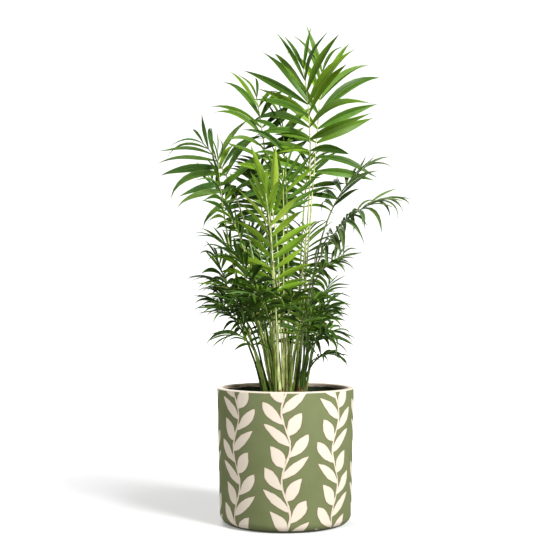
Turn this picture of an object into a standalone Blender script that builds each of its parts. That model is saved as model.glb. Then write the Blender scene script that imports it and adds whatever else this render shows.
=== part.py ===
"""Parlor palm in a round glazed planter, in metres with +Z up.

The origin is the middle of the planter's flat underside. Azimuths are in degrees, from +X at the
right of the front view towards +Y at the back, so 270 points at the viewer.
"""

import math
import random
from collections import namedtuple

import bmesh
import bpy
from mathutils import Vector
from mathutils.bvhtree import BVHTree

MM = 0.001
UP = Vector((0, 0, 1))
SEAT_GAP = 0.3 * MM

# Planter
POT_HEIGHT = 195 * MM
POT_TOP_RADIUS = 100 * MM
POT_FOOT_RADIUS = 95.5 * MM
POT_WALL = 9 * MM
POT_FLOOR = 10 * MM
POT_HEEL_ROUND = 13 * MM
POT_LIP_ROUND = 3 * MM
TURN_STEPS = 56
ARC_STEPS = 4

# Soil
SOIL_BELOW_RIM = 22 * MM
SOIL_TOP = POT_HEIGHT - SOIL_BELOW_RIM

# Stems: foot on the soil in millimetres, the way it leans, its lean in degrees, its height
Stem = namedtuple("Stem", "x y azimuth lean height")
STEMS = (
    Stem(14, 19, 50, 9, 66),
    Stem(3, 26, 65, 8, 68),
    Stem(-12, 20, 130, 9, 64),
    Stem(-16, 4, 150, 14, 64),
    Stem(-26, 14, 165, 20, 60),
    Stem(-24, -4, 190, 15, 50),
    Stem(21, 9, 30, 13, 64),
    Stem(12, -3, 355, 8, 62),
    Stem(20, -14, 340, 12, 36),
    Stem(-10, -19, 250, 8, 60),
    Stem(-1, 5, 270, 2, 74),
    Stem(5, -20, 290, 9, 50),
    Stem(-8, 37, 105, 12, 54),
    Stem(21, 30, 45, 16, 52),
    Stem(-13, -8, 215, 9, 62),
)
STEM_RADII = (4.8 * MM, 4.1 * MM, 3.8 * MM, 3.6 * MM)
STEM_RADII_AT = (0.0, 0.12, 0.4, 1.0)
STEM_SIDES = 8
CUT_EDGE_ANGLE = 60
SEAT_OFFSET = 2.1 * MM

# Fronds: azimuth, lean of the stalk's foot and nod of the tip in degrees, the bare stalk, the
# leafy blade and the longest leaflet in millimetres, pairs of leaflets, how far those droop, how
# far the blade rolls its face towards its right, and how wide its leaflets spread
Frond = namedtuple("Frond", "stem azimuth lean nod stalk blade pairs leaflet droop tint roll spread",
                   defaults=(0, 1))
FRONDS = (
    Frond(1, 60, 9, 10, 262, 184, 8, 114, 0.40, "bright", 42),
    Frond(2, 20, 9, -10, 292, 142, 8, 108, 0.35, "bright", 36),
    Frond(3, 118, 2, 22, 266, 140, 8, 84, 0.35, "bright"),
    Frond(4, 133, 10, 54, 236, 142, 9, 98, 0.75, "bright", -42, 1.1),
    Frond(7, 38, 3, 58, 222, 104, 7, 76, 0.45, "deep", 0, 0.7),
    Frond(8, 355, 4, 78, 165, 122, 10, 70, 1.30, "deep", 15),
    Frond(10, 255, 8, 30, 88, 158, 10, 66, 0.10, "young", 0, 0.9),
    Frond(10, 235, -4, 22, 200, 40, 3, 92, 0.00, "young", 0, 0.35),
    Frond(11, 268, 2, 5, 195, 70, 6, 66, 0.15, "bright", 0, 0.8),
    Frond(5, 152, 17, 3, 196, 130, 8, 58, 0.50, "bright"),
    Frond(5, 150, 24, 22, 105, 64, 6, 60, 0.90, "mid"),
    Frond(2, 108, 0, 16, 255, 115, 7, 70, 0.40, "mid"),
    Frond(6, 195, 16, 65, 54, 48, 6, 48, 0.45, "mid", -30),
    Frond(6, 168, 20, 54, 80, 50, 6, 46, 0.50, "deep"),
    Frond(6, 224, 24, 112, 34, 54, 6, 48, 0.45, "mid"),
    Frond(7, 8, -6, 76, 132, 48, 6, 42, 0.50, "deep", 30),
    Frond(8, 328, -4, 76, 120, 44, 6, 46, 0.50, "mid"),
    Frond(8, 25, 0, 60, 60, 40, 5, 44, 0.40, "mid"),
    Frond(9, 2, 4, 118, 56, 46, 6, 40, 0.60, "deep", 20),
    Frond(9, 325, 4, 130, 50, 42, 6, 42, 0.60, "deep"),
    Frond(9, 345, 24, 134, 26, 44, 6, 34, 0.50, "deep"),
    Frond(15, 212, 8, 48, 88, 80, 7, 56, 0.50, "deep"),
    Frond(15, 188, 10, 30, 150, 74, 7, 54, 0.50, "mid"),
    Frond(15, 246, 10, 70, 52, 70, 7, 52, 0.60, "mid"),
)

# The crown's other fronds: the stems that carry them, and ranges for what a frond's row states
Tier = namedtuple("Tier", "stems azimuth lean nod stalk blade pairs leaflet droop")
TIERS = (
    Tier((1, 3, 13, 4), (80, 150), (2, 10), (25, 45), (180, 230), (96, 116), 8, (60, 72), 0.45),
    Tier((14, 13, 2, 4), (76, 150), (10, 18), (48, 76), (100, 150), (88, 108), 9, (60, 72), 0.50),
    Tier((14, 13, 3), (78, 150), (18, 32), (76, 108), (50, 90), (84, 102), 8, (56, 66), 0.50),
    Tier((4, 15, 6, 10), (195, 255), (10, 20), (80, 112), (45, 85), (54, 68), 7, (44, 56), 0.55),
    Tier((11, 12, 9), (275, 325), (4, 14), (64, 96), (45, 80), (48, 60), 7, (38, 46), 0.50),
)
TIER_TINTS = ("mid", "deep", "mid", "bright")
TIER_JITTER = 0.2
GROWTH_SEED = 5

# Ribs: radii at the foot, where the blade starts and at the tip. The nod counts this much
# towards the side by which a stalk leaves its stem
RIB_RADII = (1.25 * MM, 1.15 * MM, 0.75 * MM)
RIB_SIDES = 3
STALK_STEP = 34 * MM
PATH_STEPS = 60
NOD_AT_SEAT = 0.3

# Leaflets: the root sits on the rib's upper side face, and roots leave room between pairs
LEAFLET_ROOT = 4.4 * MM
ROOT_SHARE_OF_PAIR = 0.42
ROOT_DEPTH = 2 * MM
ROOT_OUT = 0.43
ROOT_UP = 0.25
LEAFLET_WIDTH = 0.16
WIDTH_SHARE_OF_PAIR = 0.86
WIDTH_OVERHANG = 2 * MM
LEAFLET_WIDEST_AT = 0.42
SHORT_LEAFLET_STOPS = (0.42,)
LONG_LEAFLET_STOPS = (0.3, 0.68)
LONG_LEAFLET = 70 * MM
LEAFLET_FOOT_WIDTH = 0.25
LEAFLET_TAPER = 1.1
LEAFLET_THINNEST = 1.0 * MM
LEAFLET_SLENDERNESS = 90
LEAFLET_LIFT = 14
LONGEST_AT = 0.5
FIRST_SHORTER_BY = 0.22
LAST_SHORTER_BY = 0.36
LAST_SHORTER_EASE = 2.2
LENGTH_SPREAD = 0.12
ANGLE_AT_BASE = 82
ANGLE_AT_TIP = 20
ANGLE_SPREAD = 11
TWIST_SPREAD = 26
DROOP_AT_BASE = 1.3
DROOP_AT_TIP = 0.65
DROOP_SPREAD = 0.6
ARCH_STEPS = 14
ARCH_SECTIONS = (0.02, 0.14, 0.28, 0.42, 0.62, 0.82, 0.97)

# Air kept between what grows, and the tries made to find it
RIB_AIR = 1.1 * MM
LEAFLET_AIR = 0.7 * MM
AIR_FULL_AT = 24 * MM
RIB_TEST_STEPS = 26
RIB_TEST_SIDES = 6
RIB_TRIES = ((0, 0), (5, 0), (-5, 0), (0, 3), (0, -3), (10, 2), (-10, 2), (9, -3), (-9, -3),
             (16, 4), (-16, 4), (16, -5), (-16, -5), (24, 0), (-24, 0), (30, 6), (-30, 6))
LEAFLET_TRIES = ((0, 0, 1.0), (7, 0, 1.0), (-7, 0, 1.0), (0, 10, 1.0), (0, -10, 1.0),
                 (10, 12, 0.92), (-10, 12, 0.92), (10, -12, 0.92), (-10, -12, 0.92),
                 (0, 20, 0.85), (0, -18, 0.85), (14, 0, 0.8), (-14, 0, 0.8), (0, 0, 0.7),
                 (10, 16, 0.6), (-10, 16, 0.6), (0, 0, 0.5))

COLOURS = {
    "pot_sage": ((0.19, 0.24, 0.12), 0.55),
    "potting_soil": ((0.035, 0.022, 0.014), 0.95),
    "cane": ((0.42, 0.46, 0.18), 0.5),
    "leaf_bright": ((0.10, 0.26, 0.025), 0.42),
    "leaf_mid": ((0.055, 0.17, 0.022), 0.42),
    "leaf_deep": ((0.03, 0.10, 0.025), 0.42),
    "leaf_young": ((0.22, 0.42, 0.05), 0.42),
}


def clear_scene():
    for obj in list(bpy.data.objects):
        bpy.data.objects.remove(obj)


def make_materials():
    made = {}
    for name, (colour, roughness) in COLOURS.items():
        material = bpy.data.materials.new(name)
        material.use_nodes = True
        shader = material.node_tree.nodes["Principled BSDF"]
        shader.inputs["Base Color"].default_value = (*colour, 1)
        shader.inputs["Roughness"].default_value = roughness
        shader.inputs["Metallic"].default_value = 0
        made[name] = material
    return made


def add_object(name, mesh, material, parent, collection, place=(0, 0, 0)):
    obj = bpy.data.objects.new(name, mesh)
    obj.location = place
    obj.parent = parent
    mesh.materials.append(material)
    collection.objects.link(obj)
    return obj


# Turned pieces


def arc(centre, radius, start, end, steps=ARC_STEPS):
    """Points (r, z) on an arc between two angles in degrees."""
    for k in range(steps + 1):
        angle = math.radians(start + (end - start) * k / steps)
        yield (centre[0] + radius * math.cos(angle), centre[1] + radius * math.sin(angle))


def turned(name, profile, material, parent, collection):
    """A profile of (r, z) points, from the top down its outer side, turned about Z."""
    bm = bmesh.new()
    verts = [bm.verts.new((r, 0, z)) for r, z in profile]
    for a, b in zip(verts, verts[1:]):
        bm.edges.new((a, b))
    mesh = bpy.data.meshes.new(name)
    bm.to_mesh(mesh)
    bm.free()
    obj = add_object(name, mesh, material, parent, collection)
    screw = obj.modifiers.new("turn", "SCREW")
    screw.steps = TURN_STEPS
    screw.render_steps = TURN_STEPS
    screw.use_merge_vertices = True
    screw.merge_threshold = 0.00001
    screw.use_smooth_shade = True
    return obj


def pot_inner_radius(z):
    """The inner wall follows the outer wall's taper."""
    taper = (POT_TOP_RADIUS - POT_FOOT_RADIUS) / POT_HEIGHT
    return POT_FOOT_RADIUS + taper * z - POT_WALL


def make_pot(material, parent, collection):
    lip_out = (POT_TOP_RADIUS - POT_LIP_ROUND, POT_HEIGHT - POT_LIP_ROUND)
    lip_in = (POT_TOP_RADIUS - POT_WALL + POT_LIP_ROUND, POT_HEIGHT - POT_LIP_ROUND)
    heel = (POT_FOOT_RADIUS - POT_HEEL_ROUND, POT_HEEL_ROUND)
    profile = [(pot_inner_radius(POT_FLOOR), POT_FLOOR)]
    profile += arc(lip_in, POT_LIP_ROUND, 180, 90, 2)
    profile += arc(lip_out, POT_LIP_ROUND, 90, 0, 2)
    profile += arc(heel, POT_HEEL_ROUND, 0, -90)
    profile = [(0, POT_FLOOR)] + profile + [(0, 0)]
    return turned("pot", profile, material, parent, collection)


def make_soil(material, parent, collection):
    floor = POT_FLOOR + SEAT_GAP
    profile = [
        (0, SOIL_TOP),
        (pot_inner_radius(SOIL_TOP) - SEAT_GAP, SOIL_TOP),
        (pot_inner_radius(floor) - SEAT_GAP, floor),
        (0, floor),
    ]
    return turned("soil", profile, material, parent, collection)


# Limbs: a capped ring that is extruded along its path


def direction(azimuth, lean):
    """The unit vector that leans this far from upright."""
    across = math.sin(math.radians(lean))
    turn = math.radians(azimuth)
    return Vector((across * math.cos(turn), across * math.sin(turn), math.cos(math.radians(lean))))


def ring_points(centre, along, side, radius, count, turn=0.0):
    """Points round a limb. The first one lies at the given turn from the side vector."""
    side = (side - along * side.dot(along)).normalized()
    other = along.cross(side)
    angles = [turn + math.tau * k / count for k in range(count)]
    return [centre + side * (radius * math.cos(a)) + other * (radius * math.sin(a)) for a in angles]


def moved_corners(face, corners, points):
    """The new face's corners, in the old corners' order, moved to their points."""
    new = [next(v for v in (e.other_vert(old) for e in old.link_edges) if v in face.verts)
           for old in corners]
    for vert, point in zip(new, points):
        vert.co = point
    return new


def extruded_face(bm, face, corners, points):
    grown = bmesh.ops.extrude_discrete_faces(bm, faces=[face])["faces"][0]
    return grown, moved_corners(grown, corners, points)


def limb(bm, rings):
    """A closed tube through lists of points, one list a section. It returns its rings."""
    ring = list(bmesh.ops.create_circle(bm, cap_ends=True, segments=len(rings[0]), radius=1)["verts"])
    for vert, point in zip(ring, rings[0]):
        vert.co = point
    first = bmesh.ops.extrude_face_region(bm, geom=[ring[0].link_faces[0]])
    face = next(item for item in first["geom"] if isinstance(item, bmesh.types.BMFace))
    grown = [ring, moved_corners(face, ring, rings[1])]
    for points in rings[2:]:
        face, ring = extruded_face(bm, face, grown[-1], points)
        grown.append(ring)
    return grown


def finished_mesh(bm, name, place):
    bmesh.ops.recalc_face_normals(bm, faces=bm.faces)
    bmesh.ops.triangulate(bm, faces=bm.faces)
    bmesh.ops.translate(bm, verts=bm.verts, vec=-Vector(place))
    mesh = bpy.data.meshes.new(name)
    bm.to_mesh(mesh)
    bm.free()
    return mesh


def stem_path(stem):
    """Foot, axis and top of a stem. It stands upright at the cut and leans from there on."""
    foot = Vector((stem.x * MM, stem.y * MM, SOIL_TOP + SEAT_GAP))
    axis = direction(stem.azimuth, stem.lean)
    heights = [share * stem.height * MM for share in STEM_RADII_AT]
    centres = [foot, foot + UP * heights[1]]
    centres += [centres[1] + axis * (h - heights[1]) for h in heights[2:]]
    return centres, axis


def stem_rings(stem):
    centres, axis = stem_path(stem)
    along = (UP, UP, axis, axis)
    side = Vector((1, 0, 0))
    return [ring_points(c, a, side, r, STEM_SIDES)
            for c, a, r in zip(centres, along, STEM_RADII)]


# Frond geometry


class Rib:
    """The curved line of a frond's stalk and blade, from its seat on a stem."""

    def __init__(self, frond, seat, axis, turn=0.0, tip=0.0):
        self.frond = frond
        self.azimuth = frond.azimuth + turn
        self.lean = frond.lean + tip
        self.nod = frond.nod + tip
        self.stalk = frond.stalk * MM
        self.length = (frond.stalk + frond.blade) * MM
        self.axis = axis
        self.points = [seat]
        for k in range(PATH_STEPS):
            middle = (k + 0.5) / PATH_STEPS
            step = self.heading(middle * self.length) * (self.length / PATH_STEPS)
            self.points.append(self.points[-1] + step)

    def heading(self, s):
        share = s / self.length
        return direction(self.azimuth, self.lean + (self.nod - self.lean) * share * share)

    def frame(self, s):
        """Point, heading, upper side and right side at a distance along the rib."""
        place = min(max(s / self.length, 0), 1) * PATH_STEPS
        k = min(int(place), PATH_STEPS - 1)
        point = self.points[k].lerp(self.points[k + 1], place - k)
        along = self.heading(s)
        turn = math.radians(self.azimuth)
        level = Vector((math.sin(turn), -math.cos(turn), 0))
        roll = math.radians(self.frond.roll)
        across = level * math.cos(roll) - level.cross(along) * math.sin(roll)
        return point, along, across.cross(along), across

    def radius(self, s):
        if s < self.stalk:
            return RIB_RADII[0] + (RIB_RADII[1] - RIB_RADII[0]) * s / self.stalk
        share = (s - self.stalk) / (self.length - self.stalk)
        return RIB_RADII[1] + (RIB_RADII[2] - RIB_RADII[1]) * share

    def section(self, s, count, grow=0.0):
        point, along, upper, _ = self.frame(s)
        if s == 0:
            along = self.axis
        return ring_points(point, along, upper, self.radius(s) + grow, count)

    def spacing(self):
        return (self.length - self.stalk) / self.frond.pairs

    def root_length(self):
        return min(LEAFLET_ROOT, ROOT_SHARE_OF_PAIR * self.spacing())

    def station(self, index):
        """The middle of a pair's root. The last pair's root ends at the tip."""
        return self.stalk + self.spacing() * (index + 1) - self.root_length() / 2


def leaf_outline(t):
    """Share of the full width at a share of the length: narrow foot, long drawn-out tip."""
    if t < LEAFLET_WIDEST_AT:
        swell = math.sin(math.pi / 2 * t / LEAFLET_WIDEST_AT)
        return LEAFLET_FOOT_WIDTH + (1 - LEAFLET_FOOT_WIDTH) * swell
    rest = (t - LEAFLET_WIDEST_AT) / (1 - LEAFLET_WIDEST_AT)
    return math.cos(math.pi / 2 * rest) ** LEAFLET_TAPER


def length_share(share):
    """Leaflets are longest partway along the blade."""
    if share < LONGEST_AT:
        return 1 - FIRST_SHORTER_BY * ((LONGEST_AT - share) / LONGEST_AT) ** 2
    return 1 - LAST_SHORTER_BY * ((share - LONGEST_AT) / (1 - LONGEST_AT)) ** LAST_SHORTER_EASE


class Leaflet:
    """One leaflet's line, lie and width. Side is 1 on the rib's right and -1 on its left."""

    def __init__(self, rib, index, side, draws, turn, lift, size):
        frond = rib.frond
        share = index / (frond.pairs - 1)
        s = rib.station(index)
        point, along, upper, across = rib.frame(s)
        outward = across * side
        angle = ANGLE_AT_BASE + (ANGLE_AT_TIP - ANGLE_AT_BASE) * share
        angle = math.radians(frond.spread * (angle + ANGLE_SPREAD * draws[0]) + turn)
        raised = math.radians(LEAFLET_LIFT + lift)
        sideways = outward * math.cos(raised) + upper * math.sin(raised)
        self.start = point + (outward * ROOT_OUT + upper * ROOT_UP) * rib.radius(s)
        self.aim = along * math.cos(angle) + sideways * math.sin(angle)
        self.length = frond.leaflet * MM * length_share(share) * size
        self.length *= 1 + LENGTH_SPREAD * draws[1]
        self.droop = frond.droop * (DROOP_AT_BASE + (DROOP_AT_TIP - DROOP_AT_BASE) * share)
        self.droop *= 1 + DROOP_SPREAD * draws[2]
        room = WIDTH_SHARE_OF_PAIR * rib.spacing() * math.sin(angle) + WIDTH_OVERHANG
        self.width = min(self.length * LEAFLET_WIDTH, room)
        self.thickness = max(LEAFLET_THINNEST, self.length / LEAFLET_SLENDERNESS)
        wide = (along - self.aim * along.dot(self.aim)).normalized()
        face = self.aim.cross(wide)
        if face.dot(upper) < 0:
            face = -face
        twist = math.radians(TWIST_SPREAD * draws[3])
        self.wide = wide * math.cos(twist) + face * math.sin(twist)
        self.upper = upper
        self.root_width = rib.root_length()
        self.stops = LONG_LEAFLET_STOPS if self.length > LONG_LEAFLET else SHORT_LEAFLET_STOPS
        self.points = [self.start]
        for k in range(ARCH_STEPS):
            step = self.heading((k + 0.5) / ARCH_STEPS) * (self.length / ARCH_STEPS)
            self.points.append(self.points[-1] + step)

    def heading(self, t):
        return (self.aim - UP * (self.droop * t)).normalized()

    def frame(self, t):
        """Point, the way across towards the blade's tip, and the way up through the leaf."""
        place = min(t, 1) * (len(self.points) - 1)
        k = min(int(place), len(self.points) - 2)
        along = self.heading(t)
        wide = (self.wide - along * self.wide.dot(along)).normalized()
        face = along.cross(wide)
        if face.dot(self.upper) < 0:
            face = -face
        return self.points[k].lerp(self.points[k + 1], place - k), wide, face

    def corners(self, t, width, grow=0.0):
        """Four corners: back over, back under, front under, front over."""
        point, wide, face = self.frame(t)
        return slab_corners(point, wide, face, width / 2 + grow, self.thickness / 2 + grow)

    def guard(self, grow):
        """Sections of the arching leaflet, and of the flat lengths that stand for it."""
        arched = [self.corners(t, self.width * leaf_outline(t), grow) for t in ARCH_SECTIONS]
        root = (self.root_width / 2 + grow, ROOT_DEPTH / 2 + grow)
        flat = [slab_corners(self.start, self.wide, self.aim.cross(self.wide), *root)]
        flat += [self.corners(t, self.width * leaf_outline(t), grow) for t in self.stops]
        flat.append(self.corners(1, 0, grow))
        return arched, flat


def slab_corners(point, wide, face, half_width, half_depth):
    return [point - wide * half_width + face * half_depth,
            point - wide * half_width - face * half_depth,
            point + wide * half_width - face * half_depth,
            point + wide * half_width + face * half_depth]


# Finding room: what is placed is kept as test shapes, and a new piece must miss them all


def tube_test_shape(*tubes):
    """Corners and faces of closed tubes through sections, for a collision test."""
    points, faces = [], []
    for sections in tubes:
        count = len(sections[0])
        first = len(points)
        for section in sections:
            points += section
        for k in range(len(sections) - 1):
            row = first + k * count
            for j in range(count):
                after = (j + 1) % count
                faces.append((row + j, row + after, row + count + after, row + count + j))
        faces.append(tuple(range(first, first + count)))
        faces.append(tuple(range(len(points) - count, len(points))))
    return points, faces


def boxed_tree(*tubes):
    """The low and high corner of closed tubes through sections, and their search tree."""
    points, faces = tube_test_shape(*tubes)
    low = [min(p[i] for p in points) for i in range(3)]
    high = [max(p[i] for p in points) for i in range(3)]
    return low, high, BVHTree.FromPolygons(points, faces)


class Thicket:
    """Everything placed so far."""

    def __init__(self):
        self.placed = []

    def add(self, owner, *tubes):
        self.placed.append((owner, *boxed_tree(*tubes)))

    def is_free(self, joined_to, *tubes):
        """True where the tubes touch nothing but the pieces that they may grow from."""
        low, high, tree = boxed_tree(*tubes)
        for other, other_low, other_high, other_tree in self.placed:
            if other in joined_to:
                continue
            if any(low[i] > other_high[i] or high[i] < other_low[i] for i in range(3)):
                continue
            if tree.overlap(other_tree):
                return False
        return True


def rib_guard(rib, grow):
    stops = [rib.length * k / RIB_TEST_STEPS for k in range(RIB_TEST_STEPS + 1)]
    return [rib.section(s, RIB_TEST_SIDES, grow * min(1, s / AIR_FULL_AT)) for s in stops]


def grow_rib(thicket, frond, seat, axis):
    """The first try that clears what stands already, or None where none does."""
    for turn, tip in RIB_TRIES:
        rib = Rib(frond, seat, axis, turn, tip)
        if thicket.is_free((), rib_guard(rib, RIB_AIR)):
            return rib
    return None


def grow_leaflets(thicket, owner, rib, dice):
    """The leaflets that find room, each with the pair and the side it grows from."""
    grown = []
    for index in range(rib.frond.pairs):
        for side in (1, -1):
            draws = [dice.uniform(-1, 1) for _ in range(4)]
            joined_to = ((owner, "rib"), (owner, index, -side))
            for turn, lift, size in LEAFLET_TRIES:
                leaflet = Leaflet(rib, index, side, draws, turn, lift, size)
                arched, flat = leaflet.guard(LEAFLET_AIR)
                lowest = min(p.z for section in arched + flat for p in section)
                if lowest > POT_HEIGHT and thicket.is_free(joined_to, arched, flat):
                    thicket.add((owner, index, side), *leaflet.guard(0))
                    grown.append((index, side, leaflet))
                    break
    return grown


def tier_fronds(dice):
    """The fronds that fill the crown out, drawn from each tier's ranges."""
    made = []
    for tier in TIERS:
        for k, stem in enumerate(tier.stems):
            share = (k + 0.5 + dice.uniform(-TIER_JITTER, TIER_JITTER)) / len(tier.stems)
            azimuth = tier.azimuth[0] + (tier.azimuth[1] - tier.azimuth[0]) * share
            drawn = [dice.uniform(*span) for span in
                     (tier.lean, tier.nod, tier.stalk, tier.blade, tier.leaflet)]
            lean, nod, stalk, blade, leaflet = drawn
            tint = TIER_TINTS[len(made) % len(TIER_TINTS)]
            made.append(Frond(stem, azimuth, lean, nod, stalk, blade, tier.pairs, leaflet,
                              tier.droop, tint))
    return made


def seat_places(stem, fronds):
    """A seat on the stem's top for each frond, on the side that the frond leaves by."""
    centres, axis = stem_path(stem)
    side = (Vector((1, 0, 0)) - axis * axis.x).normalized()
    other = axis.cross(side)
    bearings = []
    for frond in fronds:
        leaves = direction(frond.azimuth, frond.lean + NOD_AT_SEAT * frond.nod)
        bearings.append(math.atan2(leaves.dot(other), leaves.dot(side)))
    order = sorted(range(len(fronds)), key=lambda k: bearings[k])
    step = math.tau / max(3, len(fronds))
    offs = [bearings[k] - n * step for n, k in enumerate(order)]
    base = math.atan2(sum(math.sin(a) for a in offs), sum(math.cos(a) for a in offs))
    places = {}
    for n, k in enumerate(order):
        angle = base + n * step
        out = side * math.cos(angle) + other * math.sin(angle)
        places[k] = centres[-1] + axis * SEAT_GAP + out * SEAT_OFFSET
    return [places[k] for k in range(len(fronds))], axis


def grow_plant():
    """Ribs first, then leaflets, so that no leaflet takes a rib's way."""
    fronds = list(FRONDS) + tier_fronds(random.Random(GROWTH_SEED))
    thicket = Thicket()
    for stem in STEMS:
        thicket.add("stem", stem_rings(stem))
    seats = {}
    for number, stem in enumerate(STEMS, 1):
        mine = [k for k, frond in enumerate(fronds) if frond.stem == number]
        places, axis = seat_places(stem, [fronds[k] for k in mine])
        seats.update({k: (place, axis) for k, place in zip(mine, places)})
    ribs = []
    for k, frond in enumerate(fronds):
        rib = grow_rib(thicket, frond, *seats[k])
        if rib:
            thicket.add((k, "rib"), rib_guard(rib, 0))
            ribs.append((k, rib))
    return [(rib, grow_leaflets(thicket, k, rib, random.Random(GROWTH_SEED + k)))
            for k, rib in ribs]


# Meshes of stems and fronds


def side_face(rings, k, side):
    """The rib's sloping face on one side, between two rings. Corner 0 is the ridge."""
    low = 1 if side > 0 else 2
    corners = (rings[k][0], rings[k][low], rings[k + 1][low], rings[k + 1][0])
    return next(f for f in corners[0].link_faces if all(v in f.verts for v in corners)), corners


def add_leaflet(bm, rings, k, side, leaflet):
    """Out from the rib's side through its stops, then to a point."""
    face, corners = side_face(rings, k, side)
    for t in leaflet.stops:
        section = leaflet.corners(t, leaflet.width * leaf_outline(t))
        face, corners = extruded_face(bm, face, corners, section)
    tip = leaflet.frame(1)[0]
    face, corners = extruded_face(bm, face, corners, [tip] * 4)
    bmesh.ops.pointmerge(bm, verts=corners, merge_co=tip)


def frond_mesh(rib, leaflets, name, place):
    stalk_steps = max(3, round(rib.stalk / STALK_STEP))
    stops = [rib.stalk * k / stalk_steps for k in range(stalk_steps)]
    root = rib.root_length()
    first = {}
    for index in range(rib.frond.pairs):
        first[index] = len(stops)
        stops += [rib.station(index) - root / 2, rib.station(index) + root / 2]
    bm = bmesh.new()
    rings = limb(bm, [rib.section(s, RIB_SIDES) for s in stops])
    for index, side, leaflet in leaflets:
        add_leaflet(bm, rings, first[index], side, leaflet)
    return finished_mesh(bm, name, place)


def stem_mesh(stem, name, place):
    bm = bmesh.new()
    limb(bm, stem_rings(stem))
    mesh = finished_mesh(bm, name, place)
    mesh.shade_smooth()
    mesh.set_sharp_from_angle(angle=math.radians(CUT_EDGE_ANGLE))
    return mesh


def build():
    clear_scene()
    collection = bpy.data.collections.new("potted_parlor_palm")
    bpy.context.scene.collection.children.link(collection)
    plant = bpy.data.objects.new("plant_in_pot", None)
    collection.objects.link(plant)
    paint = make_materials()
    make_pot(paint["pot_sage"], plant, collection)
    make_soil(paint["potting_soil"], plant, collection)
    for number, stem in enumerate(STEMS, 1):
        foot = stem_path(stem)[0][0]
        name = f"stem_{number:02d}"
        add_object(name, stem_mesh(stem, name, foot), paint["cane"], plant, collection, foot)
    for number, (rib, leaflets) in enumerate(grow_plant(), 1):
        name = f"frond_{number:02d}"
        mesh = frond_mesh(rib, leaflets, name, rib.points[0])
        add_object(name, mesh, paint["leaf_" + rib.frond.tint], plant, collection, rib.points[0])


build()
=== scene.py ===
"""The looks of a potted parlor palm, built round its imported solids, in metres with +Z up.

The origin is the middle of the planter's flat underside. Azimuths are in degrees, from +X at the
right of the front view towards +Y at the back, so 270 points at the viewer.
"""

import math
import random
from collections import namedtuple

import bmesh
import bpy
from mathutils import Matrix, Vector, noise
from mathutils.bvhtree import BVHTree


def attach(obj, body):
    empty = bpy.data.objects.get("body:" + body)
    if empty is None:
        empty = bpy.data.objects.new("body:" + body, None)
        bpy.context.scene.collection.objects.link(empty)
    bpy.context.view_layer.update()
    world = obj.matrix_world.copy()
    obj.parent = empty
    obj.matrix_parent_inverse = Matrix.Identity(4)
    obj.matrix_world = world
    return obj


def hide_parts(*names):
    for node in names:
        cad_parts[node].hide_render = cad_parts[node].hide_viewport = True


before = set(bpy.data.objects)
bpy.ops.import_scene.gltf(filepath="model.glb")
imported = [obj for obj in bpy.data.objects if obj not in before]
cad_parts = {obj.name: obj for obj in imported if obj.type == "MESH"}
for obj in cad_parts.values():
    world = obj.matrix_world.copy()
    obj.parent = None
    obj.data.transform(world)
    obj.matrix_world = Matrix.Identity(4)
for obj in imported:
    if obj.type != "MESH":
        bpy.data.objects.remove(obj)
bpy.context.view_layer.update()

MM = 0.001
UP = Vector((0, 0, 1))
SEAT_GAP = 0.3 * MM

# Camera: level with the crown's foot, tipped up a little
CAMERA_PLACE = (-0.00806, -1.56, 0.312)
CAMERA_TIP_UP = 1.4375
CAMERA_LENS = 68.4
CAMERA_SENSOR = 36

# Planter
POT_HEIGHT = 195 * MM
POT_TOP_RADIUS = 100 * MM
POT_FOOT_RADIUS = 95.5 * MM
POT_WALL = 9 * MM
POT_FLOOR = 10 * MM
POT_HEEL_ROUND = 13 * MM
POT_LIP_ROUND = 3 * MM
POT_TURN_STEPS = 160
POT_ARC_STEPS = 8

# Soil
SOIL_TOP = 173 * MM
SOIL_RINGS = 26
SOIL_TURN_STEPS = 110
SOIL_RELIEF = 3 * MM
CRUMBS = 420
CRUMB_SEED = 11

# Stems: foot on the soil in millimetres, the way it leans, its lean in degrees, its height
Stem = namedtuple("Stem", "x y azimuth lean height")
STEMS = (
    Stem(14, 19, 50, 9, 66),
    Stem(3, 26, 65, 8, 68),
    Stem(-12, 20, 130, 9, 64),
    Stem(-16, 4, 150, 14, 64),
    Stem(-26, 14, 165, 20, 60),
    Stem(-24, -4, 190, 15, 50),
    Stem(21, 9, 30, 13, 64),
    Stem(12, -3, 355, 8, 62),
    Stem(20, -14, 340, 12, 36),
    Stem(-10, -19, 250, 8, 60),
    Stem(-1, 5, 270, 2, 74),
    Stem(5, -20, 290, 9, 50),
    Stem(-8, 37, 105, 12, 54),
    Stem(21, 30, 45, 16, 52),
    Stem(-13, -8, 215, 9, 62),
)
STEM_RADII = (4.8 * MM, 4.1 * MM, 3.8 * MM, 3.6 * MM)
STEM_RADII_AT = (0.0, 0.12, 0.4, 1.0)
STEM_TEST_SIDES = 8
SEAT_OFFSET = 2.1 * MM

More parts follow.
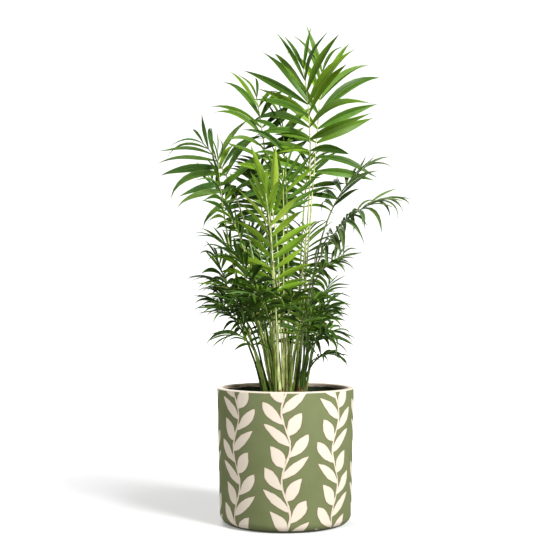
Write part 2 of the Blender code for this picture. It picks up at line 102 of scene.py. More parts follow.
# Fronds: azimuth, lean of the stalk's foot and nod of the tip in degrees, the bare stalk, the
# leafy blade and the longest leaflet in millimetres, pairs of leaflets, how far those droop, how
# far the blade rolls its face towards its right, and how wide its leaflets spread
Frond = namedtuple("Frond", "stem azimuth lean nod stalk blade pairs leaflet droop tint roll spread",
                   defaults=(0, 1))
FRONDS = (
    Frond(1, 60, 9, 10, 262, 184, 8, 114, 0.40, "bright", 42),
    Frond(2, 20, 9, -10, 292, 142, 8, 108, 0.35, "bright", 36),
    Frond(3, 118, 2, 22, 266, 140, 8, 84, 0.35, "bright"),
    Frond(4, 133, 10, 54, 236, 142, 9, 98, 0.75, "cool", -42, 1.1),
    Frond(7, 38, 3, 58, 222, 104, 7, 76, 0.45, "pale", 0, 0.7),
    Frond(8, 355, 4, 78, 165, 122, 10, 70, 1.30, "pale", 15),
    Frond(10, 255, 8, 30, 88, 158, 10, 66, 0.10, "young", 0, 0.9),
    Frond(10, 235, -4, 22, 200, 40, 3, 92, 0.00, "young", 0, 0.35),
    Frond(11, 268, 2, 5, 195, 70, 6, 66, 0.15, "bright", 0, 0.8),
    Frond(5, 152, 17, 3, 196, 130, 8, 58, 0.50, "bright"),
    Frond(5, 150, 24, 22, 105, 64, 6, 60, 0.90, "mid"),
    Frond(2, 108, 0, 16, 255, 115, 7, 70, 0.40, "mid"),
    Frond(6, 195, 16, 65, 54, 48, 6, 48, 0.45, "mid", -30),
    Frond(6, 168, 20, 54, 80, 50, 6, 46, 0.50, "deep"),
    Frond(6, 224, 24, 112, 34, 54, 6, 48, 0.45, "mid"),
    Frond(7, 8, -6, 76, 132, 48, 6, 42, 0.50, "pale", 30),
    Frond(8, 328, -4, 76, 120, 44, 6, 46, 0.50, "mid"),
    Frond(8, 25, 0, 60, 60, 40, 5, 44, 0.40, "mid"),
    Frond(9, 2, 4, 118, 56, 46, 6, 40, 0.60, "deep", 20),
    Frond(9, 325, 4, 130, 50, 42, 6, 42, 0.60, "deep"),
    Frond(9, 345, 24, 134, 26, 44, 6, 34, 0.50, "deep"),
    Frond(15, 212, 8, 48, 88, 80, 7, 56, 0.50, "deep"),
    Frond(15, 188, 10, 30, 150, 74, 7, 54, 0.50, "mid"),
    Frond(15, 246, 10, 70, 52, 70, 7, 52, 0.60, "mid"),
)

# The crown's other fronds: the stems that carry them, and ranges for what a frond's row states
Tier = namedtuple("Tier", "stems azimuth lean nod stalk blade pairs leaflet droop")
TIERS = (
    Tier((1, 3, 13, 4), (80, 150), (2, 10), (25, 45), (180, 230), (96, 116), 8, (60, 72), 0.45),
    Tier((14, 13, 2, 4), (76, 150), (10, 18), (48, 76), (100, 150), (88, 108), 9, (60, 72), 0.50),
    Tier((14, 13, 3), (78, 150), (18, 32), (76, 108), (50, 90), (84, 102), 8, (56, 66), 0.50),
    Tier((4, 15, 6, 10), (195, 255), (10, 20), (80, 112), (45, 85), (54, 68), 7, (44, 56), 0.55),
    Tier((11, 12, 9), (275, 325), (4, 14), (64, 96), (45, 80), (48, 60), 7, (38, 46), 0.50),
)
TIER_TINTS = ("mid", "deep", "mid", "bright")
TIER_JITTER = 0.2
GROWTH_SEED = 5

# Ribs: radii at the foot, where the blade starts and at the tip. The nod counts this much
# towards the side by which a stalk leaves its stem
RIB_RADII = (1.25 * MM, 1.15 * MM, 0.75 * MM)
PATH_STEPS = 60
NOD_AT_SEAT = 0.3

# Leaflets. A frond of short leaflets carries more and slimmer pairs than its solid does
SHORT_LEAFLET = 75
FINER_PAIRS = 1.3
LEAFLET_ROOT = 3.0 * MM
ROOT_SHARE_OF_PAIR = 0.42
ROOT_DEPTH = 1.2 * MM
ROOT_OUT = 0.43
ROOT_UP = 0.25
LONG_LEAFLET_WIDTH = 0.152
SHORT_LEAFLET_WIDTH = 0.165
WIDTH_SHARE_OF_PAIR = 0.9
WIDTH_OVERHANG = 2.4 * MM
LEAFLET_FOOT_WIDTH = 0.16
LEAFLET_WIDEST_AT = 0.46
LEAFLET_TAPER = 1.25
LEAFLET_THICKNESS = 0.7 * MM
LEAFLET_LIFT = 14
LONGEST_AT = 0.5
FIRST_SHORTER_BY = 0.22
LAST_SHORTER_BY = 0.36
LAST_SHORTER_EASE = 2.2
LENGTH_SPREAD = 0.12
ANGLE_AT_BASE = 82
ANGLE_AT_TIP = 20
ANGLE_SPREAD = 11
TWIST_SPREAD = 26
DROOP_AT_BASE = 1.3
DROOP_AT_TIP = 0.65
DROOP_SPREAD = 0.6
ARCH_STEPS = 14
ARCH_SECTIONS = (0.02, 0.14, 0.28, 0.42, 0.62, 0.82, 0.97)

# Air kept between what grows, and the tries made to find it
RIB_AIR = 1.1 * MM
LEAFLET_AIR = 0.5 * MM
AIR_FULL_AT = 24 * MM
RIB_TEST_STEPS = 26
RIB_TEST_SIDES = 6
RIB_TRIES = ((0, 0), (5, 0), (-5, 0), (0, 3), (0, -3), (10, 2), (-10, 2), (9, -3), (-9, -3),
             (16, 4), (-16, 4), (16, -5), (-16, -5), (24, 0), (-24, 0), (30, 6), (-30, 6))
LEAFLET_TRIES = ((0, 0, 1.0), (7, 0, 1.0), (-7, 0, 1.0), (0, 10, 1.0), (0, -10, 1.0),
                 (10, 12, 0.92), (-10, 12, 0.92), (10, -12, 0.92), (-10, -12, 0.92),
                 (0, 20, 0.85), (0, -18, 0.85), (14, 0, 0.8), (-14, 0, 0.8), (0, 0, 0.7),
                 (10, 16, 0.6), (-10, 16, 0.6), (0, 0, 0.5))

# A leaflet's blade: two convex halves that fold along the midrib and draw out to a thread
BLADE_STATIONS = (0.0, 0.05, 0.13, 0.24, 0.37, 0.5, 0.63, 0.75, 0.86, 0.94, 1.0)
BLADE_SECTION = ((-1, 0), (-0.5, 0), (0, 0), (0.5, 0), (1, 0), (0, -1))
BLADE_FOLD = (16, 38)
BLADE_BULGE = 0.09
BLADE_KEEL = 0.5 * MM
BLADE_SWAY = 0.05
BLADE_CURL = (-0.36, 0.12)
BLADE_HOOK = (-0.20, 0.16)
LIMP_DROOP = 0.25
BLADE_TWIST = 45
BLADE_SEED = 57
SPEAR_SPREAD = 0.5

# Each frond's cane runs up its stem's flank from the soil and slims into the stalk
CANE_RADIUS = 1.7 * MM
CANE_FOOT_RADIUS = 2.0 * MM
CANE_FOOT_OFFSET = 3.4 * MM
STOUT_CANE = 1.35
CANE_SLIMS_OVER = 95 * MM
CANE_SHARE_OF_STALK = 0.6
CANE_SIDES = 10
CANE_STEP = 3 * MM
STALK_STEP = 9 * MM
SCAR_EVERY = 14 * MM
SCAR_SWELL = 0.35 * MM
CANE_UNEVEN = 0.5 * MM
CORE_SHARE_OF_STEM = 0.42
CORE_POINT_LENGTH = 14 * MM
CORE_POINT_SHARE = 0.15

# Seedlings that stand between the stems, in millimetres and degrees. They fan out from a point
# before the clump, so that the front stays open
SEEDLINGS = 30
CLUMP_MIDDLE = (-1, 9)
CLUMP_REACH = (34, 27)
GOLDEN_ANGLE = 137.5
SEEDLING_FAN_FROM = (0, -32)
SEEDLING_LEAN_PER_MM = 0.3
SEEDLING_AZIMUTH_SPREAD = 30
SEEDLING_NOD = (25, 65)
SEEDLING_STALK = (55, 170)
SEEDLING_BLADE = (58, 86)
SEEDLING_LEAFLET = (40, 54)
SEEDLING_PAIRS = 8
SEEDLING_DROOP = 0.7
SEEDLING_FOOT_RADIUS = 1.9 * MM
SEEDLING_SEED = 5

# Plain colours. Each leaf tint comes in shades, which are dealt out leaflet by leaflet
LEAF_SHADES = {
    "bright": ((0.118, 0.236, 0.017), (0.092, 0.210, 0.028), (0.195, 0.340, 0.020),
               (0.050, 0.132, 0.015)),
    "mid": ((0.084, 0.184, 0.018), (0.058, 0.150, 0.024), (0.142, 0.262, 0.022),
            (0.032, 0.094, 0.013)),
    "deep": ((0.040, 0.108, 0.013), (0.028, 0.088, 0.018), (0.074, 0.164, 0.020),
             (0.013, 0.048, 0.008)),
    # The pale tint is partly the paler undersides of drooping fronds and partly painted sheen, the
    # grey-green of light glancing off them
    "pale": ((0.145, 0.212, 0.078), (0.115, 0.190, 0.084), (0.235, 0.305, 0.140),
             (0.074, 0.128, 0.044)),
    "cool": ((0.140, 0.270, 0.058), (0.112, 0.248, 0.070), (0.212, 0.355, 0.090),
             (0.062, 0.152, 0.038)),
    "young": ((0.330, 0.520, 0.040), (0.280, 0.470, 0.034), (0.430, 0.600, 0.075),
              (0.225, 0.400, 0.028)),
}
SHADE_DEAL = (0, 0, 1, 1, 2, 3)
STALK_SHADES = {
    "bright": (0.70, 0.76, 0.30),
    "mid": (0.34, 0.47, 0.11),
    "deep": (0.090, 0.160, 0.030),
    "pale": (0.22, 0.28, 0.12),
    "cool": (0.40, 0.48, 0.20),
    "young": (0.78, 0.86, 0.40),
}
LEAF_GLEAM = (0.45, 0.66, 0.12)
LEAF_VEINS = 5
DRY_TIP = (0.10, 0.060, 0.035)
SAGE = (0.202, 0.232, 0.098)
CREAM = (0.84, 0.75, 0.63)
GROOVE = (0.120, 0.082, 0.055)
BARE_CLAY = (0.62, 0.50, 0.42)
INNER_GLAZE = (0.045, 0.070, 0.038)
INNER_BARE_BAND = 6 * MM

# Planter's painted vines, in millimetres: wavy stems with slanting almond leaves on both sides
VINES = 8
VINE_WIDTH = math.tau * 98 / VINES
VINE_SWAY = 6
VINE_WAVE = 96
LEAF_PITCH = 30
LEAF_SLANT = 42
LEAF_LENGTH = 42
LEAF_HALF_WIDTH = 7.8
TWIG_HALF_WIDTH = 1.4
BRUSH_WOBBLE = 3.0
GROOVE_OUT = 0.4
GROOVE_HALF_WIDTH = 0.8


# Finishes


class Value:
    """An output of a node. Arithmetic on it adds Math nodes."""

    def __init__(self, finish, socket):
        self.finish = finish
        self.socket = socket

    def maths(self, operation, *others):
        return self.finish.maths(operation, self, *others)

    def __add__(self, other):
        return self.maths("ADD", other)

    def __sub__(self, other):
        return self.maths("SUBTRACT", other)

    def __rsub__(self, other):
        return self.finish.maths("SUBTRACT", other, self)

    def __mul__(self, other):
        return self.maths("MULTIPLY", other)

    def __truediv__(self, other):
        return self.maths("DIVIDE", other)

    __radd__ = __add__
    __rmul__ = __mul__


class Finish:
    """One material, its shader and the nodes that feed it."""

    def __init__(self, name, roughness=0.5):
        self.material = bpy.data.materials.new(name)
        self.material.use_nodes = True
        self.tree = self.material.node_tree
        self.shader = self.tree.nodes["Principled BSDF"]
        self.set("Roughness", roughness)

    def feed(self, socket, value):
        if isinstance(value, Value):
            self.tree.links.new(value.socket, socket)
        elif socket.type == "RGBA":
            socket.default_value = (*value, 1)
        else:
            socket.default_value = value

    def set(self, socket, value):
        self.feed(self.shader.inputs[socket], value)

    def node(self, kind, settings, inputs, output=0):
        made = self.tree.nodes.new(kind)
        for key, value in settings.items():
            setattr(made, key, value)
        for key, value in inputs.items():
            self.feed(made.inputs[key], value)
        return Value(self, made.outputs[output])

    def maths(self, operation, *terms):
        return self.node("ShaderNodeMath", {"operation": operation}, dict(enumerate(terms)))

    def mix(self, share, first, second):
        """A colour between two colours."""
        return self.node("ShaderNodeMix", {"data_type": "RGBA"}, {0: share, 6: first, 7: second}, 2)

    def ramp(self, value, low, high):
        """0 at low, 1 at high, smooth between."""
        return self.node("ShaderNodeMapRange", {"interpolation_type": "SMOOTHSTEP"},
                         {"Value": value, "From Min": low, "From Max": high})

    def place(self):
        return self.node("ShaderNodeTexCoord", {}, {}, "Object")

    def split(self, vector):
        outputs = self.node("ShaderNodeSeparateXYZ", {}, {0: vector}).socket.node.outputs
        return [Value(self, outputs[axis]) for axis in "XYZ"]

    def cloud(self, size, detail=3.0, rough=0.5, stretch=(1, 1, 1)):
        """Soft noise round 0.5, with features of this size in metres."""
        where = self.node("ShaderNodeMapping", {}, {"Vector": self.place(), "Scale": stretch})
        return self.node("ShaderNodeTexNoise", {}, {
            "Vector": where, "Scale": 1 / size, "Detail": detail, "Roughness": rough})

    def bump(self, height, strength, distance):
        self.set("Normal", self.node("ShaderNodeBump", {}, {
            "Strength": strength, "Distance": distance, "Height": height}))


def blended(colour, other, share):
    return tuple(a + (b - a) * share for a, b in zip(colour, other))


def lighter(colour, share):
    return blended(colour, (1, 1, 1), share)


def darker(colour, share):
    return blended(colour, (0, 0, 0), share)


def leaf_finish(name, colour, painted_shade_towards_tip):
    """A satin leaf with veins along it, a pale midrib, and edges painted lighter as a glow of light
    through the thin margins.

    One half of each blade is darkened with painted shade, as if the fold turned it from the light. The
    painted shade lies on the half towards the frond's tip where the flag is 1, or else on the other
    half.
    """
    leaf = Finish(name)
    leaf.set("Specular IOR Level", 0.25)
    across, along, _ = leaf.split(leaf.node("ShaderNodeTexCoord", {}, {}, "UV"))
    veins = (across * (math.tau * LEAF_VEINS)).maths("SINE")
    off_middle = (across - 0.5).maths("ABSOLUTE")
    blotch = leaf.cloud(9 * MM)
    body = leaf.mix(blotch, darker(colour, 0.25), blended(colour, LEAF_GLEAM, 0.08))
    # Painted shade: one half of the blade is made darker and stands for the shaded side of the fold
    half = leaf.ramp(across, 0.44, 0.56) if painted_shade_towards_tip else leaf.ramp(across, 0.56, 0.44)
    body = leaf.mix(half * 0.45, body, darker(colour, 0.6))
    body = leaf.mix(leaf.ramp(veins, -0.6, 1.0) * 0.3, body, blended(colour, LEAF_GLEAM, 0.3))
    # The lighter edges are a painted glow of light through the thin margins; the pale midrib is the
    # leaf's own colour
    edge_glow_and_midrib = leaf.ramp(off_middle, 0.38, 0.5).maths("MAXIMUM", 1.0 - leaf.ramp(off_middle, 0.0, 0.05))
    body = leaf.mix(edge_glow_and_midrib * 0.45, body, blended(colour, LEAF_GLEAM, 0.5))
    leaf.set("Base Color", leaf.mix(leaf.ramp(along, 0.93, 1.0) * 0.7, body, DRY_TIP))
    leaf.set("Roughness", blotch * 0.2 + 0.36)
    leaf.bump(veins, 0.2, 0.2 * MM)
    return leaf.material


def stalk_finish(name, colour):
    """A smooth stalk, streaked along its length, with dry husk towards the soil."""
    stalk = Finish(name)
    stalk.set("Specular IOR Level", 0.3)
    streaks = stalk.cloud(2.5 * MM, stretch=(1, 1, 0.08))
    patches = stalk.cloud(12 * MM)
    _, _, height = stalk.split(stalk.place())
    body = stalk.mix(stalk.ramp(streaks, 0.35, 0.65), darker(colour, 0.55), colour)
    husk = stalk.mix(streaks, (0.10, 0.05, 0.02), (0.42, 0.29, 0.15))
    dry = stalk.ramp(patches + (1.0 - stalk.ramp(height, 0.175, 0.215)) * 0.14, 0.62, 0.74)
    stalk.set("Base Color", stalk.mix(dry, body, husk))
    stalk.set("Roughness", streaks * 0.2 + 0.38)
    stalk.bump(streaks + dry * 0.5, 0.4, 0.4 * MM)
    return stalk.material


def cane_finish():
    """Green cane with paler streaks, and dry brown husk towards the soil."""
    cane = Finish("green_cane")
    cane.set("Specular IOR Level", 0.3)
    streaks = cane.cloud(2.2 * MM, 4.0, stretch=(1, 1, 0.1))
    patches = cane.cloud(14 * MM)
    _, _, height = cane.split(cane.place())
    body = cane.mix(streaks, (0.10, 0.17, 0.04), (0.48, 0.54, 0.18))
    husk = cane.mix(streaks, (0.13, 0.07, 0.03), (0.40, 0.28, 0.14))
    dry = cane.ramp(patches + (1.0 - cane.ramp(height, 0.17, 0.225)) * 0.22, 0.62, 0.8)
    cane.set("Base Color", cane.mix(dry, body, husk))
    cane.set("Roughness", dry * 0.3 + 0.42)
    cane.bump(streaks + dry * 0.6, 0.5, 0.5 * MM)
    return cane.material


def soil_finish():
    soil = Finish("damp_soil")
    grains = soil.cloud(2.2 * MM, 6.0, 0.65)
    lumps = soil.cloud(11 * MM, 2.0)
    colour = soil.mix(grains, (0.012, 0.007, 0.004), (0.085, 0.052, 0.032))
    soil.set("Base Color", soil.mix(lumps * 0.5, colour, (0.03, 0.019, 0.012)))
    soil.set("Roughness", grains * 0.2 + 0.75)
    soil.bump(grains + lumps * 0.5, 0.9, 2 * MM)
    return soil.material


def bark_finish():
    bark = Finish("bark_crumb")
    grain = bark.cloud(1.6 * MM, 4.0)
    bark.set("Base Color", bark.mix(grain, (0.03, 0.017, 0.009), (0.17, 0.10, 0.055)))
    bark.set("Roughness", grain * 0.2 + 0.7)
    bark.bump(grain, 0.6, 0.6 * MM)
    return bark.material


def vine_edge(pot):
    """How far a place lies outside the painted vine's edge, in millimetres."""
    x, y, z = pot.split(pot.place())
    around = y.maths("ARCTAN2", x) * (VINES / math.tau)
    column = around.maths("ROUND")
    odd = column.maths("PINGPONG", 1.0)
    up = z * 1000.0 + odd * (VINE_WAVE / 2 + LEAF_PITCH / 4)
    wave = (up * (math.tau / VINE_WAVE)).maths("SINE")
    across = (around - column) * VINE_WIDTH - wave * VINE_SWAY
    out = across.maths("ABSOLUTE")
    up = up + across.maths("GREATER_THAN", 0.0) * (LEAF_PITCH / 2)
    rise, lean = math.sin(math.radians(LEAF_SLANT)), math.cos(math.radians(LEAF_SLANT))
    beside = up * rise - out * lean
    row = (beside / (LEAF_PITCH * rise)).maths("ROUND")
    along = out * rise + (up - row * LEAF_PITCH) * lean
    share = (along / LEAF_LENGTH).maths("MAXIMUM", 0.0).maths("MINIMUM", 1.0)
    leaf = (beside - row * (LEAF_PITCH * rise)).maths("ABSOLUTE")
    leaf = leaf - share * (1.0 - share) * (4 * LEAF_HALF_WIDTH)
    leaf = leaf + (along - LEAF_LENGTH).maths("MAXIMUM", 0.0)
    brush = (pot.cloud(11 * MM, 2.0) - 0.5) * BRUSH_WOBBLE
    return leaf.maths("MINIMUM", out - TWIG_HALF_WIDTH) + brush


def pot_finish():
    """Matt sage glaze with cream vines, a cream lip and a dark glaze inside."""
    pot = Finish("sage_glaze")
    pot.set("Specular IOR Level", 0.35)
    x, y, z = pot.split(pot.place())
    reach = (x * x + y * y).maths("SQRT")
    edge = vine_edge(pot)
    painted = (1.0 - pot.ramp(edge, -0.3, 0.3)) * pot.ramp(z, 3 * MM, 4 * MM)
    mottle = pot.cloud(24 * MM, 4.0)
    grain = pot.cloud(1.3 * MM, 3.0, 0.7)
    sage = pot.mix(mottle, darker(SAGE, 0.16), lighter(SAGE, 0.03))
    sage = pot.mix(pot.ramp(grain, 0.62, 0.74) * 0.25, sage, lighter(SAGE, 0.2))
    cream = pot.mix(mottle, darker(CREAM, 0.08), CREAM)
    worn = pot.ramp(edge, -2.2, 0.0) * grain
    cream = pot.mix(worn * 0.55, cream, (0.52, 0.40, 0.24))
    groove = 1.0 - pot.ramp((edge - GROOVE_OUT).maths("ABSOLUTE"), 0.2, GROOVE_HALF_WIDTH)
    sage = pot.mix(groove * 0.6, sage, GROOVE)
    colour = pot.mix(painted, sage, cream)
    lip = pot.ramp(z, POT_HEIGHT - 2.2 * MM, POT_HEIGHT - 1.6 * MM)
    colour = pot.mix(lip, colour, pot.mix(grain, darker(CREAM, 0.2), CREAM))
    inner = POT_TOP_RADIUS - POT_WALL
    inside = 1.0 - pot.ramp(reach, inner + 0.3 * MM, inner + 1.0 * MM)
    inside = inside * pot.ramp(z, 2 * MM, 4 * MM)
    brim = z + (mottle - 0.5) * (6 * MM)
    bare = pot.ramp(brim, POT_HEIGHT - INNER_BARE_BAND, POT_HEIGHT - INNER_BARE_BAND + 0.6 * MM)
    glaze = pot.mix(mottle, darker(INNER_GLAZE, 0.3), INNER_GLAZE)
    glaze = pot.mix(bare, glaze, pot.mix(grain, darker(BARE_CLAY, 0.2), BARE_CLAY))
    colour = pot.mix(inside, colour, glaze)
    pot.set("Base Color", colour)
    pot.set("Roughness", 0.52 - painted * 0.04 + grain * 0.12)
    pot.bump(painted * 0.6 + mottle * 0.3 + grain * 0.12, 0.35, 0.6 * MM)
    return pot.material


def paper_finish():
    """White paper that is lit from below, so that only a soft shadow shows on it."""
    paper = Finish("white_paper", 0.9)
    fibre = paper.cloud(3 * MM)
    paper.set("Base Color", paper.mix(fibre, (0.80, 0.80, 0.80), (0.82, 0.82, 0.82)))
    x, y, _ = paper.split(paper.place())
    far = paper.ramp((x * x + y * y).maths("SQRT"), 0.2, 1.6)
    paper.set("Emission Color", paper.mix(far, (0.14, 0.14, 0.14), (1, 1, 1)))
    paper.set("Emission Strength", 1)
    seen_by = paper.node("ShaderNodeLightPath", {}, {}, "Is Camera Ray")
    plain = paper.node("ShaderNodeBsdfDiffuse", {}, {"Color": (0.4, 0.4, 0.4)})
    either = paper.node("ShaderNodeMixShader", {}, {0: seen_by, 1: plain})
    paper.tree.links.new(paper.shader.outputs[0], either.socket.node.inputs[2])
    paper.tree.links.new(either.socket, paper.tree.nodes["Material Output"].inputs[0])
    return paper.material


# Shapes


def add_piece(name, bm, finishes, nodes):
    """A piece of the plant in its pot. It stands for the named solids."""
    mesh = bpy.data.meshes.new(name)
    bm.to_mesh(mesh)
    bm.free()
    for finish in finishes:
        mesh.materials.append(finish)
    piece = bpy.data.objects.new(name, mesh)
    bpy.context.scene.collection.objects.link(piece)
    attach(piece, "root")
    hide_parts(*nodes)
    return piece


def smoothed(bm):
    bmesh.ops.recalc_face_normals(bm, faces=bm.faces)
    for face in bm.faces:
        face.smooth = True
    return bm


def arc(centre, radius, start, end, steps=POT_ARC_STEPS):
    """Points (r, z) on an arc between two angles in degrees."""
    for k in range(steps + 1):
        angle = math.radians(start + (end - start) * k / steps)
        yield (centre[0] + radius * math.cos(angle), centre[1] + radius * math.sin(angle))


def turned(profile, steps):
    """A profile of (r, z) points that starts and ends on the axis, spun about it."""
    bm = bmesh.new()
    verts = [bm.verts.new((r, 0, z)) for r, z in profile]
    edges = [bm.edges.new(pair) for pair in zip(verts, verts[1:])]
    bmesh.ops.spin(bm, geom=verts + edges, cent=(0, 0, 0), axis=(0, 0, 1), angle=math.tau,
                   steps=steps, use_merge=True)
    bmesh.ops.remove_doubles(bm, verts=bm.verts, dist=0.01 * MM)
    return smoothed(bm)


def pot_inner_radius(z):
    """The inner wall follows the outer wall's taper."""
    taper = (POT_TOP_RADIUS - POT_FOOT_RADIUS) / POT_HEIGHT
    return POT_FOOT_RADIUS + taper * z - POT_WALL


def make_pot():
    lip_out = (POT_TOP_RADIUS - POT_LIP_ROUND, POT_HEIGHT - POT_LIP_ROUND)
    lip_in = (POT_TOP_RADIUS - POT_WALL + POT_LIP_ROUND, POT_HEIGHT - POT_LIP_ROUND)
    heel = (POT_FOOT_RADIUS - POT_HEEL_ROUND, POT_HEEL_ROUND)
    profile = [(0, POT_FLOOR), (pot_inner_radius(POT_FLOOR), POT_FLOOR)]
    profile += arc(lip_in, POT_LIP_ROUND, 180, 90)
    profile += arc(lip_out, POT_LIP_ROUND, 90, 0)
    profile += arc(heel, POT_HEEL_ROUND, 0, -90)
    profile += [(0, 0)]
    add_piece("planter", turned(profile, POT_TURN_STEPS), [pot_finish()], ["pot"])


def make_soil():
    floor = POT_FLOOR + SEAT_GAP
    rim = pot_inner_radius(SOIL_TOP) - SEAT_GAP
    profile = [(rim * k / SOIL_RINGS, SOIL_TOP) for k in range(SOIL_RINGS + 1)]
    profile += [(pot_inner_radius(floor) - SEAT_GAP, floor), (0, floor)]
    bm = turned(profile, SOIL_TURN_STEPS)
    for vert in bm.verts:
        if vert.co.z > SOIL_TOP - MM and vert.co.xy.length < rim - MM:
            vert.co.z += SOIL_RELIEF * (noise.fractal(vert.co * 90, 1.0, 2.0, 4))
    dice = random.Random(CRUMB_SEED)
    for _ in range(CRUMBS):
        turn, reach = dice.uniform(0, math.tau), (rim - 3 * MM) * math.sqrt(dice.random())
        size = dice.uniform(0.8, 2.6) * MM
        crumb = bmesh.ops.create_icosphere(bm, subdivisions=1, radius=size)["verts"]
        place = Vector((reach * math.cos(turn), reach * math.sin(turn), SOIL_TOP + 0.2 * size))
        squeeze = Vector([dice.uniform(0.7, 1.3), dice.uniform(0.7, 1.3), dice.uniform(0.5, 0.9)])
        for vert in crumb:
            vert.co = place + vert.co * squeeze * dice.uniform(0.85, 1.15)
        for face in {face for vert in crumb for face in vert.link_faces}:
            face.material_index = 1
    add_piece("soil_bed", bm, [soil_finish(), bark_finish()], ["soil"])


# Limbs: a capped ring that is extruded along its path


def direction(azimuth, lean):
    """The unit vector that leans this far from upright."""
    across = math.sin(math.radians(lean))
    turn = math.radians(azimuth)
    return Vector((across * math.cos(turn), across * math.sin(turn), math.cos(math.radians(lean))))


def ring_points(centre, along, side, radius, count):
    """Points round a limb. The first one lies on the side vector."""
    side = (side - along * side.dot(along)).normalized()
    other = along.cross(side)
    angles = [math.tau * k / count for k in range(count)]
    return [centre + side * (radius * math.cos(a)) + other * (radius * math.sin(a)) for a in angles]


def moved_corners(face, corners, points):
    """The new face's corners, in the old corners' order, moved to their points."""
    new = [next(v for v in (e.other_vert(old) for e in old.link_edges) if v in face.verts)
           for old in corners]
    for vert, point in zip(new, points):
        vert.co = point
    return new


def limb(bm, rings):
    """A closed tube through lists of points, one list a section. It returns its rings."""
    ring = list(bmesh.ops.create_circle(bm, cap_ends=True, segments=len(rings[0]), radius=1)["verts"])
    for vert, point in zip(ring, rings[0]):
        vert.co = point
    first = bmesh.ops.extrude_face_region(bm, geom=[ring[0].link_faces[0]])
    face = next(item for item in first["geom"] if isinstance(item, bmesh.types.BMFace))
    grown = [ring, moved_corners(face, ring, rings[1])]
    for points in rings[2:]:
        face = bmesh.ops.extrude_discrete_faces(bm, faces=[face])["faces"][0]
        grown.append(moved_corners(face, grown[-1], points))
    return grown


def stem_path(stem):
    """Foot, axis and top of a stem. It stands upright at the cut and leans from there on."""
    foot = Vector((stem.x * MM, stem.y * MM, SOIL_TOP + SEAT_GAP))
    axis = direction(stem.azimuth, stem.lean)
    heights = [share * stem.height * MM for share in STEM_RADII_AT]
    centres = [foot, foot + UP * heights[1]]
    centres += [centres[1] + axis * (h - heights[1]) for h in heights[2:]]
    return centres, axis


def stem_rings(stem):
    centres, axis = stem_path(stem)
    along = (UP, UP, axis, axis)
    side = Vector((1, 0, 0))
    return [ring_points(c, a, side, r, STEM_TEST_SIDES)
            for c, a, r in zip(centres, along, STEM_RADII)]


# Frond geometry


class Rib:
    """The curved line of a frond's stalk and blade, from its seat on a stem."""

    def __init__(self, frond, seat, out, axis, turn=0.0, tip=0.0):
        self.frond = frond
        self.azimuth = frond.azimuth + turn
        self.lean = frond.lean + tip
        self.nod = frond.nod + tip
        self.stalk = frond.stalk * MM
        self.length = (frond.stalk + frond.blade) * MM
        self.out = out
        self.axis = axis
        self.points = [seat]
        for k in range(PATH_STEPS):
            middle = (k + 0.5) / PATH_STEPS
            step = self.heading(middle * self.length) * (self.length / PATH_STEPS)
            self.points.append(self.points[-1] + step)

    def heading(self, s):
        share = s / self.length
        return direction(self.azimuth, self.lean + (self.nod - self.lean) * share * share)

    def frame(self, s):
        """Point, heading, upper side and right side at a distance along the rib."""
        place = min(max(s / self.length, 0), 1) * PATH_STEPS
        k = min(int(place), PATH_STEPS - 1)
        point = self.points[k].lerp(self.points[k + 1], place - k)
        along = self.heading(s)
        turn = math.radians(self.azimuth)
        level = Vector((math.sin(turn), -math.cos(turn), 0))
        roll = math.radians(self.frond.roll)
        across = level * math.cos(roll) - level.cross(along) * math.sin(roll)
        return point, along, across.cross(along), across

    def radius(self, s):
        if s < self.stalk:
            return RIB_RADII[0] + (RIB_RADII[1] - RIB_RADII[0]) * s / self.stalk
        share = (s - self.stalk) / (self.length - self.stalk)
        return RIB_RADII[1] + (RIB_RADII[2] - RIB_RADII[1]) * share

    def section(self, s, count, grow=0.0):
        point, along, upper, _ = self.frame(s)
        if s == 0:
            along = self.axis
        return ring_points(point, along, upper, self.radius(s) + grow, count)

    def spacing(self):
        return (self.length - self.stalk) / self.frond.pairs

    def root_length(self):
        return min(LEAFLET_ROOT, ROOT_SHARE_OF_PAIR * self.spacing())

    def station(self, index):
        """The middle of a pair's root. The last pair's root ends at the tip."""
        return self.stalk + self.spacing() * (index + 1) - self.root_length() / 2


def leaf_outline(t):
    """Share of the full width at a share of the length: narrow foot, long drawn-out tip."""
    if t < LEAFLET_WIDEST_AT:
        swell = math.sin(math.pi / 2 * t / LEAFLET_WIDEST_AT)
        return LEAFLET_FOOT_WIDTH + (1 - LEAFLET_FOOT_WIDTH) * swell
    rest = (t - LEAFLET_WIDEST_AT) / (1 - LEAFLET_WIDEST_AT)
    return max(0, math.cos(math.pi / 2 * rest)) ** LEAFLET_TAPER


def length_share(share):
    """Leaflets are longest partway along the blade."""
    if share < LONGEST_AT:
        return 1 - FIRST_SHORTER_BY * ((LONGEST_AT - share) / LONGEST_AT) ** 2
    return 1 - LAST_SHORTER_BY * ((share - LONGEST_AT) / (1 - LONGEST_AT)) ** LAST_SHORTER_EASE


